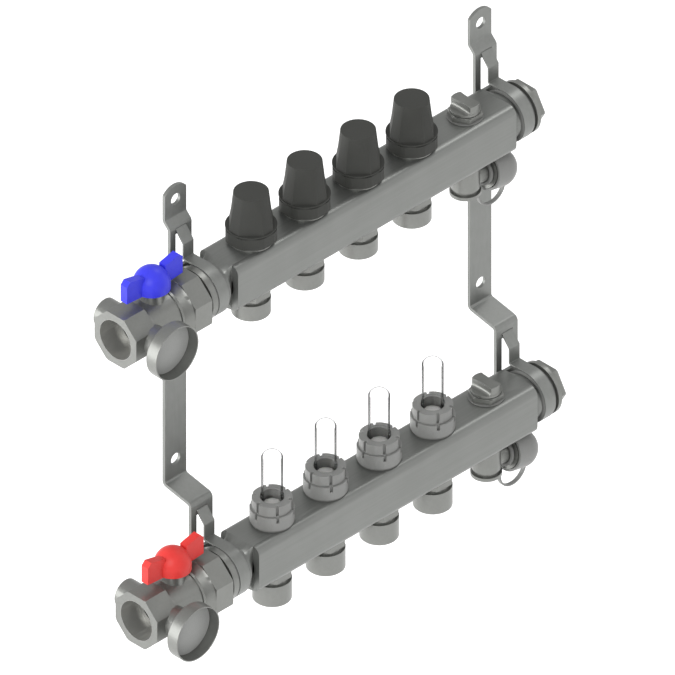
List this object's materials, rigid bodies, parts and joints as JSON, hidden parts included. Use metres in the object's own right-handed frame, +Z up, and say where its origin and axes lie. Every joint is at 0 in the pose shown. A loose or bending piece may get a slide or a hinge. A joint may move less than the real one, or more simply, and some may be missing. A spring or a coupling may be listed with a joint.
{
  "type": "floor heating manifold",
  "caption": "Wall-hung floor heating manifold: two square steel bars with threaded outlets, hand caps, flow meters, ball valves with thermometers, vents and drains on strip brackets.",
  "frame": {"origin": "centre of the four wall screw holes, on the wall's face", "axes": "+X along the bars to the right, +Y into the wall, +Z up"},
  "size_m": [0.3866, 0.0886, 0.3524],
  "materials": {
    "stainless": "satin",
    "zinc_steel": "zinc plated",
    "nickel": "nickel plated",
    "black_plastic": "fine grained",
    "grey_plastic": "fine grained",
    "case_steel": "satin",
    "dial_plate": "light grey, blank",
    "clear_plastic": "clear",
    "white_plastic": "plain",
    "seat_white": "PTFE",
    "rubber": "matt, grey",
    "blue_plastic": "smooth",
    "red_plastic": "smooth"
  },
  "bodies": {
    "manifold": {"return_bar": "stainless", "supply_bar": "stainless", "return_outlets": "nickel", "supply_outlets": "nickel", "valve_insert_1": "nickel", "valve_insert_2": "nickel", "valve_insert_3": "nickel", "valve_insert_4": "nickel", "flow_insert_1": "grey_plastic", "flow_insert_2": "grey_plastic", "flow_insert_3": "grey_plastic", "flow_insert_4": "grey_plastic", "vent_bodies": "nickel", "return_drain_core": "nickel", "supply_drain_core": "nickel", "end_plugs": "nickel", "left_bracket": "zinc_steel", "right_bracket": "zinc_steel", "clamp_straps": "zinc_steel", "clamp_liners": "rubber", "return_valve_body": "nickel", "supply_valve_body": "nickel", "union_nuts": "nickel", "union_tails": "nickel", "valve_seats": "seat_white", "thermometers": "case_steel", "thermometer_dials": "dial_plate", "gaskets": "rubber"},
    "return_handle_set": {"return_handle": "blue_plastic", "return_stem": "nickel", "return_ball": "nickel"},
    "return_key": {"return_vent_key": "nickel"},
    "return_spout": {"return_drain_spout": "nickel", "return_drain_cap": "grey_plastic"},
    "supply_handle_set": {"supply_handle": "red_plastic", "supply_stem": "nickel", "supply_ball": "nickel"},
    "supply_key": {"supply_vent_key": "nickel"},
    "supply_spout": {"supply_drain_spout": "nickel", "supply_drain_cap": "grey_plastic"},
    "pin_1": {"valve_pin_1": "nickel"},
    "cap_1": {"manual_cap_1": "black_plastic"},
    "adjuster_1": {"flow_adjuster_1": "grey_plastic", "sight_glass_1": "clear_plastic"},
    "indicator_1": {"flow_indicator_1": "white_plastic"},
    "pin_2": {"valve_pin_2": "nickel"},
    "cap_2": {"manual_cap_2": "black_plastic"},
    "adjuster_2": {"flow_adjuster_2": "grey_plastic", "sight_glass_2": "clear_plastic"},
    "indicator_2": {"flow_indicator_2": "white_plastic"},
    "pin_3": {"valve_pin_3": "nickel"},
    "cap_3": {"manual_cap_3": "black_plastic"},
    "adjuster_3": {"flow_adjuster_3": "grey_plastic", "sight_glass_3": "clear_plastic"},
    "indicator_3": {"flow_indicator_3": "white_plastic"},
    "pin_4": {"valve_pin_4": "nickel"},
    "cap_4": {"manual_cap_4": "black_plastic"},
    "adjuster_4": {"flow_adjuster_4": "grey_plastic", "sight_glass_4": "clear_plastic"},
    "indicator_4": {"flow_indicator_4": "white_plastic"}
  },
  "joints": [
    {"name": "return_handle_turn", "type": "hinge", "parent": "manifold", "child": "return_handle_set", "pos_m": [-0.1915, -0.029, 0.0456], "axis": [0, 0, 1], "range_deg": [0, 90]},
    {"name": "return_key_turn", "type": "hinge", "parent": "manifold", "child": "return_key", "pos_m": [0.1014, -0.029, 0.0456], "axis": [0, 0, 1], "range_deg": [0, 360]},
    {"name": "return_spout_swivel", "type": "hinge", "parent": "manifold", "child": "return_spout", "pos_m": [0.1014, -0.029, 0.0456], "axis": [0, 0, 1], "range_deg": [-120, 0]},
    {"name": "supply_handle_turn", "type": "hinge", "parent": "manifold", "child": "supply_handle_set", "pos_m": [-0.1915, -0.0486, -0.1717], "axis": [0, 0, 1], "range_deg": [0, 90]},
    {"name": "supply_key_turn", "type": "hinge", "parent": "manifold", "child": "supply_key", "pos_m": [0.1014, -0.0486, -0.1717], "axis": [0, 0, 1], "range_deg": [0, 360]},
    {"name": "supply_spout_swivel", "type": "hinge", "parent": "manifold", "child": "supply_spout", "pos_m": [0.1014, -0.0486, -0.1717], "axis": [0, 0, 1], "range_deg": [-120, 0]},
    {"name": "pin_slide_1", "type": "slide", "parent": "manifold", "child": "pin_1", "axis": [0, 0, 1], "range_m": [-0.00225, 0]},
    {"name": "cap_turn_1", "type": "hinge", "parent": "pin_1", "child": "cap_1", "pos_m": [-0.0986, -0.029, 0.0456], "axis": [0, 0, 1], "range_deg": [-540, 0]},
    {"name": "adjuster_turn_1", "type": "hinge", "parent": "manifold", "child": "adjuster_1", "pos_m": [-0.0986, -0.0486, -0.1717], "axis": [0, 0, 1], "range_deg": [0, 900]},
    {"name": "indicator_slide_1", "type": "slide", "parent": "manifold", "child": "indicator_1", "axis": [0, 0, 1], "range_m": [0, 0.018]},
    {"name": "pin_slide_2", "type": "slide", "parent": "manifold", "child": "pin_2", "axis": [0, 0, 1], "range_m": [-0.00225, 0]},
    {"name": "cap_turn_2", "type": "hinge", "parent": "pin_2", "child": "cap_2", "pos_m": [-0.0486, -0.029, 0.0456], "axis": [0, 0, 1], "range_deg": [-540, 0]},
    {"name": "adjuster_turn_2", "type": "hinge", "parent": "manifold", "child": "adjuster_2", "pos_m": [-0.0486, -0.0486, -0.1717], "axis": [0, 0, 1], "range_deg": [0, 900]},
    {"name": "indicator_slide_2", "type": "slide", "parent": "manifold", "child": "indicator_2", "axis": [0, 0, 1], "range_m": [0, 0.018]},
    {"name": "pin_slide_3", "type": "slide", "parent": "manifold", "child": "pin_3", "axis": [0, 0, 1], "range_m": [-0.00225, 0]},
    {"name": "cap_turn_3", "type": "hinge", "parent": "pin_3", "child": "cap_3", "pos_m": [0.0014, -0.029, 0.0456], "axis": [0, 0, 1], "range_deg": [-540, 0]},
    {"name": "adjuster_turn_3", "type": "hinge", "parent": "manifold", "child": "adjuster_3", "pos_m": [0.0014, -0.0486, -0.1717], "axis": [0, 0, 1], "range_deg": [0, 900]},
    {"name": "indicator_slide_3", "type": "slide", "parent": "manifold", "child": "indicator_3", "axis": [0, 0, 1], "range_m": [0, 0.018]},
    {"name": "pin_slide_4", "type": "slide", "parent": "manifold", "child": "pin_4", "axis": [0, 0, 1], "range_m": [-0.00225, 0]},
    {"name": "cap_turn_4", "type": "hinge", "parent": "pin_4", "child": "cap_4", "pos_m": [0.0514, -0.029, 0.0456], "axis": [0, 0, 1], "range_deg": [-540, 0]},
    {"name": "adjuster_turn_4", "type": "hinge", "parent": "manifold", "child": "adjuster_4", "pos_m": [0.0514, -0.0486, -0.1717], "axis": [0, 0, 1], "range_deg": [0, 900]},
    {"name": "indicator_slide_4", "type": "slide", "parent": "manifold", "child": "indicator_4", "axis": [0, 0, 1], "range_m": [0, 0.018]}
  ],
  "couplings": [
    {"joint": "cap_turn_1", "follows": "pin_slide_1", "rad_per_m": 4188.8},
    {"joint": "cap_turn_2", "follows": "pin_slide_2", "rad_per_m": 4188.8},
    {"joint": "cap_turn_3", "follows": "pin_slide_3", "rad_per_m": 4188.8},
    {"joint": "cap_turn_4", "follows": "pin_slide_4", "rad_per_m": 4188.8}
  ]
}
